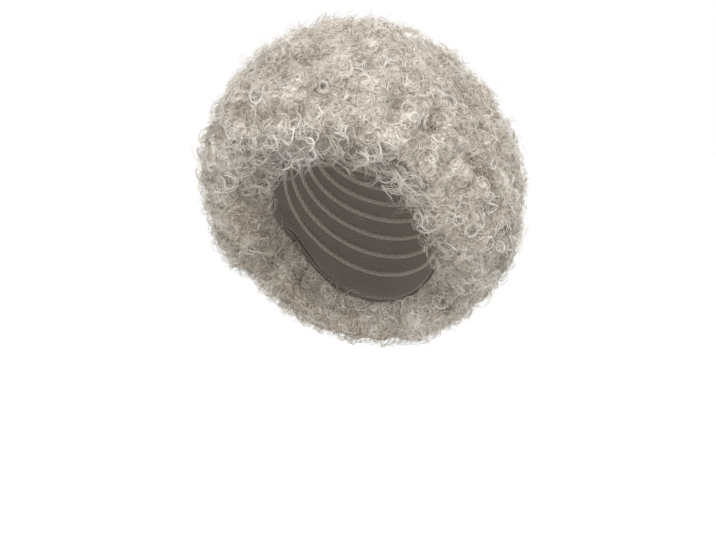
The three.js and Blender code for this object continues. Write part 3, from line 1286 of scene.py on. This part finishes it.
@dataclass
class EdgeBand:
    """The elastic band inside the cap's edge, sewn on with a zigzag along both sides.

    Lengths are in millimetres. Measures across the band go from 0 at its upper side to 1 at its lower.
    """

    shell: Shell
    columns: int = 240
    rows: int = 4
    width: float = 12.0
    seams_at: Range = (0.2, 0.8)
    seam_points: int = 180
    seam_lift: float = 0.1
    slope_reach: Range = (0.2, 3.0)
    seam: Seam = Seam(pitch=2.2, length=3.4, thread=0.5, slant=45.0)

    def out(self, across: float, turn: float) -> float:
        """The angle out at a measure across the band and a turn."""
        shell = self.shell
        return shell.limit(shell.first, turn) * (1 - across) + shell.limit(shell.last, turn) * across

    def spot(self, across: float, turn: float) -> Vector:
        """A point on the band's inside."""
        return self.shell.point(self.shell.near, self.out(across, turn), turn)

    def build(self) -> None:
        """Builds the band and ties it to the frame."""
        turns = full_turn(self.columns)
        outs = [[self.out(i / self.rows, turn) for turn in turns] for i in range(self.rows + 1)]
        mesh = self.shell.wall(outs, turns, False).mesh("edge_band_elastic", ElasticFinish().material())
        upper = [self.spot(0.0, turn) for turn in turns]
        girth = sum((upper[k] - upper[k - 1]).length for k in range(self.columns))
        places = {}
        for index in range(len(mesh.vertices)):
            row, column = divmod(index % (self.columns * (self.rows + 1)), self.columns)
            places[index] = (girth * column / self.columns, self.width * MM * row / self.rows)
        map_faces(mesh, places, girth)
        keep(new_object("edge_band_elastic", mesh), Slot.ELASTIC, "edge_band")

    def dress(self, stitches: StitchTree, thread: Material) -> None:
        """Sews the band on along both its sides.

        Args:
            stitches: The tree that sews.
            thread: The sewing thread's material.
        """
        turns = full_turn(self.seam_points)
        lift, reach = self.seam_lift, self.slope_reach
        paths = [[lifted(self.spot, across, turn, reach, lift) for turn in turns] for across in self.seams_at]
        seams = path_mesh("band_seams", paths)
        keep(stitches.run("band_stitches", seams, self.seam.inputs(thread)), Slot.ELASTIC)


@dataclass(frozen=True)
class Spot:
    """One spot of the underhair: its points, its painted light and shade from 0 to 1, lighter on the tops of
    lumps and darker in the hollows, and whether it lies past the cap.
    """

    far: Vector
    near: Vector
    lump: float
    bare: bool


@dataclass
class HairRow:
    """One row of the hair, or one length of its last row: dense underhair with curls grown on it.

    Lengths are in millimetres and angles in degrees. The underhair lies depth below the solids' broad face,
    with lumps that rise by relief, and on the cap at a gap of skin. Past the cap it draws in, over tuck_over,
    to tuck off the solids' near face. It swells at one place, low on its right side.
    """

    patch: Patch
    hair: Shell
    cap: Shell
    seed: int
    seed_step: int = 17
    step: float = 2.5
    fewest_rows: int = 3
    fewest_columns: int = 12
    depth: float = 1.5
    thinnest: float = 2.0
    skin: float = 0.4
    inside_edge: float = 1.0
    tuck: float = 3.0
    tuck_over: float = 6.0
    locks: float = 0.5
    clumps: float = 8.5
    relief: float = 8.5
    lump_shading_middle: float = 0.52
    lump_shading_share: float = 0.085
    inner_growth: float = 0.9
    swell: float = 8.0
    swell_at: Range = (116.0, 246.0)
    swell_over: Range = (14.0, 24.0)

    def swelling(self, out: float, turn: float) -> float:
        """How far the hair swells out low on its right side.

        Args:
            out: Angle out from the whorl.
            turn: Turn about its axis.

        Returns:
            The swelling in millimetres.
        """
        a = (out - self.swell_at[0]) / self.swell_over[0]
        b = (turn % 360.0 - self.swell_at[1]) / self.swell_over[1]
        return self.swell * math.exp(-0.5 * (a * a + b * b))

    def spot(self, out: float, turn: float) -> Spot:
        """One spot of the underhair.

        Args:
            out: Angle out from the whorl.
            turn: Turn about its axis.

        Returns:
            The spot.
        """
        hair, cap, way = self.hair, self.cap, direction(out, turn)
        edge = cap.limit(cap.last, turn)
        past = (out - edge) / self.tuck_over
        low = cap.at(cap.far, min(out, edge - self.inside_edge), turn) + self.skin * MM
        if past > 0.0:
            share = min(past, 1.0)
            low = (1 - share) * low + share * (hair.at(hair.near, out, turn) + self.tuck * MM)
        broad = hair.at(hair.broad, out, turn)
        rise = self.locks * (hair.at(hair.far, out, turn) - broad) / MM
        rise += self.relief * noise.noise(way * self.clumps)
        # The tops of the lumps are lighter and the hollows between them darker: painted light and shade,
        # which the underhair and the curls grown on it take up.
        lump = min(max(self.lump_shading_middle + self.lump_shading_share * rise, 0.0), 1.0)
        rise += self.swelling(out, turn)
        high = max(broad + (rise - self.depth) * MM, low + self.thinnest * MM)
        return Spot(CENTRE + way * high, CENTRE + way * low, lump, past > 0.0)

    def last(self, turn: float) -> float:
        """The angle out at which the row ends."""
        short = np.interp(turn % 360.0, EDGE_TURNS, SHORT_OF_EDGE)
        return self.patch.out_to or self.hair.limit(self.hair.last, turn) - short

    def growth(self, part: Part, bare: bool) -> float:
        """How densely curls grow on a face, as a share: outside, and inside where no cap lies."""
        return 1.0 if part is Part.FAR else self.inner_growth if part is Part.NEAR and bare else 0.0

    def underhair(self, material: Material) -> Mesh:
        """Builds the closed block of dense hair under the curls, with the faces marked that curls grow on.

        Args:
            material: The underhair's material.

        Returns:
            The mesh, with face attributes outer and rim.
        """
        patch = self.patch
        columns = max(self.fewest_columns, round((patch.turn_to - patch.turn_from) / self.step))
        turns = np.linspace(patch.turn_from, patch.turn_to, columns + 1)
        turns = turns[:-1] if patch.whole else turns
        lasts = [self.last(turn) for turn in turns]
        rows = max(self.fewest_rows, round((max(lasts) - patch.out_from) / self.step))
        grid = []
        for i in range(rows + 1):
            outs = [patch.out_from + (last - patch.out_from) * i / rows for last in lasts]
            grid.append([self.spot(out, turn) for out, turn in zip(outs, turns)])
        far = [[spot.far for spot in row] for row in grid]
        near = [[spot.near for spot in row] for row in grid]
        block = Block(far, near, patch.whole, patch.out_from == 0.0)
        mesh = block.mesh(f"{patch.node}_underhair", material)
        outer = [self.growth(part, grid[i][j].bare) for part, (i, j) in zip(block.parts, block.cells)]
        lumps = [spot.lump for row in grid for spot in row]
        mark(mesh, "outer", "FACE", outer)
        mark(mesh, "lump", "POINT", block.kept(lumps + lumps))
        mark(mesh, "rim", "FACE", [float(part is Part.LAST and not patch.out_to) for part in block.parts])
        return mesh

    def grows(self, kind: Curls) -> bool:
        """Whether a kind of curl grows here: tips along the hair's edge, forelocks on the fringe alone.

        Args:
            kind: The kind.

        Returns:
            Whether it grows here.
        """
        if kind is Curls.FORELOCKS:
            return self.patch.node == FRINGE
        return kind is not Curls.TIPS or not self.patch.out_to

    def build(self, tree: CurlTree, curls: Material, underhair: Material) -> None:
        """Builds the row's pieces and ties them to the frame.

        Args:
            tree: The tree that grows the curls.
            curls: The curls' material.
            underhair: The underhair's material.
        """
        ground = self.underhair(underhair)
        keep(new_object(f"{self.patch.node}_underhair", ground), Slot.HAIR, self.patch.node)
        for kind in filter(self.grows, Curls):
            self.seed += self.seed_step
            style, name = kind.value, f"{self.patch.node}_{kind.value.name}"
            keep(tree.run(name, ground, style.inputs(self.seed, curls)), Slot.HAIR, self.patch.node)


@dataclass(frozen=True)
class Lamp:
    """One soft round light, in metres and watts."""

    name: str
    place: tuple[float, float, float]
    size: float
    power: float
    colour: Colour = (1.0, 1.0, 1.0)

    def build(self, target: Vector) -> None:
        """Adds the light.

        Args:
            target: What it faces.
        """
        data = bpy.data.lights.new(self.name, "AREA")
        data.shape = "DISK"
        data.size = self.size
        data.energy = self.power
        data.color = self.colour
        made = bpy.data.objects.new(self.name, data)
        made.location = self.place
        made.rotation_mode = "QUATERNION"
        made.rotation_quaternion = (Vector(self.place) - target).to_track_quat("Z", "Y")
        bpy.context.scene.collection.objects.link(made)


@dataclass
class Studio:
    """The pale studio: a seamless floor, soft lights and the camera, in metres and degrees.

    focal and aim are in pixels of the picture, and sensor in millimetres. The target falls at the aim, right
    of and above the middle. bend_angles holds the first and last angle of the floor's bend, in radians, and
    their count.
    """

    floor: float = -2.2
    flat: float = 3.0
    bend: float = 4.0
    bend_angles: tuple[float, float, int] = (0.05, 1.3, 16)
    sides: int = 96
    distance: float = 2.0
    azimuth: float = 22.0
    elevation: float = -5.0
    roll: float = 4.5
    focal: float = 2250.0
    aim: Range = (5.0, 89.0)
    picture_width: int = 716
    sensor: float = 36.0
    view_end: float = 50.0
    floor_finish: PlainFinish = PlainFinish(
        "pale_floor",
        ((0.0, (0.93, 0.93, 0.925)), (1.0, (0.96, 0.96, 0.955))),
        grain=3.0,
        detail=3.0,
        roughness=0.9,
    )
    lamps: tuple[Lamp, ...] = (
        Lamp("key", (1.3, -1.9, 1.5), size=1.6, power=74.0, colour=(1.0, 0.985, 0.96)),
        Lamp("fill", (-1.9, -1.6, 0.4), size=1.8, power=22.0, colour=(0.99, 0.99, 1.0)),
        Lamp("back", (-0.4, 2.2, 1.4), size=1.8, power=40.0),
    )

    def camera(self, target: Vector) -> None:
        """Places the camera so that the target falls at the picture's aim.

        Args:
            target: What the camera looks at.
        """
        a, e, r = map(math.radians, (self.azimuth, self.elevation, self.roll))
        back = Vector((math.sin(a) * math.cos(e), -math.cos(a) * math.cos(e), math.sin(e)))
        level = Vector((math.cos(a), math.sin(a), 0.0))
        upright = back.cross(level)
        right = level * math.cos(r) + upright * math.sin(r)
        up = upright * math.cos(r) - level * math.sin(r)
        ahead = (-back - right * (self.aim[0] / self.focal) - up * (self.aim[1] / self.focal)).normalized()
        right = (right - ahead * right.dot(ahead)).normalized()
        turned = Matrix((right, right.cross(ahead), -ahead)).transposed().to_4x4()
        data = bpy.data.cameras.new("camera")
        data.sensor_width = self.sensor
        data.lens = self.sensor * self.focal / self.picture_width
        data.clip_end = self.view_end
        made = bpy.data.objects.new("camera", data)
        made.matrix_world = Matrix.Translation(target + back * self.distance) @ turned
        bpy.context.scene.collection.objects.link(made)
        bpy.context.scene.camera = made

    def ground(self) -> None:
        """Builds the floor, which bends up into a wall all round."""
        bends = np.linspace(*self.bend_angles)
        rings = [(self.flat, 0.0)]
        rings += [(self.flat + self.bend * math.sin(a), self.bend - self.bend * math.cos(a)) for a in bends]
        n = self.sides
        spin = [2 * math.pi * k / n for k in range(n)]
        points = [(r * math.cos(a), r * math.sin(a), self.floor + h) for r, h in rings for a in spin]
        faces = [tuple(range(n))]
        for first in range(0, n * (len(rings) - 1), n):
            steps = ((first + k, first + (k + 1) % n) for k in range(n))
            faces.extend((here, here + n, there + n, there) for here, there in steps)
        mesh = bpy.data.meshes.new("floor")
        mesh.from_pydata(points, [], faces)
        mesh.shade_smooth()
        mesh.materials.append(self.floor_finish.material())
        new_object("floor", mesh)

    def build(self, target: Vector) -> None:
        """Builds floor, lights, surroundings and camera.

        Args:
            target: The middle of the hair.
        """
        self.ground()
        for lamp in self.lamps:
            lamp.build(target)
        world = bpy.data.worlds.new("studio")
        world.use_nodes = True
        world.node_tree.nodes["Background"].inputs["Color"].default_value = (1.0, 1.0, 1.0, 1.0)
        world.node_tree.nodes["Background"].inputs["Strength"].default_value = 1.0
        bpy.context.scene.world = world
        bpy.context.scene.view_settings.view_transform = "Standard"
        self.camera(target)


def main() -> None:
    """Builds the wig's pieces in order and reports each one."""
    logging.basicConfig(level=logging.INFO, format="%(message)s")
    hair = Shell(tuple(patch.node for patch in PATCHES), step=2.0, soften=2.2)
    cap = Shell(("cap",), step=1.5, soften=5.0)
    band = Shell(("edge_band",), step=1.0, soften=4.0)
    tape, stitches, thread = TapeTree(), StitchTree(), PlainFinish().material()
    dome = NetCap(cap)
    dome.build()
    dome.dress(tape, stitches, thread)
    edge = EdgeBand(band)
    edge.build()
    edge.dress(stitches, thread)
    finish = CurlFinish()
    curls, underhair = finish.material(), UnderhairFinish().material()
    tree = CurlTree(finish.columns)
    for number, patch in enumerate(PATCHES):
        HairRow(patch, hair, cap, seed=SEEDS_APART * (number + 1)).build(tree, curls, underhair)
    Studio().build(CENTRE)


if __name__ == "__main__":
    main()
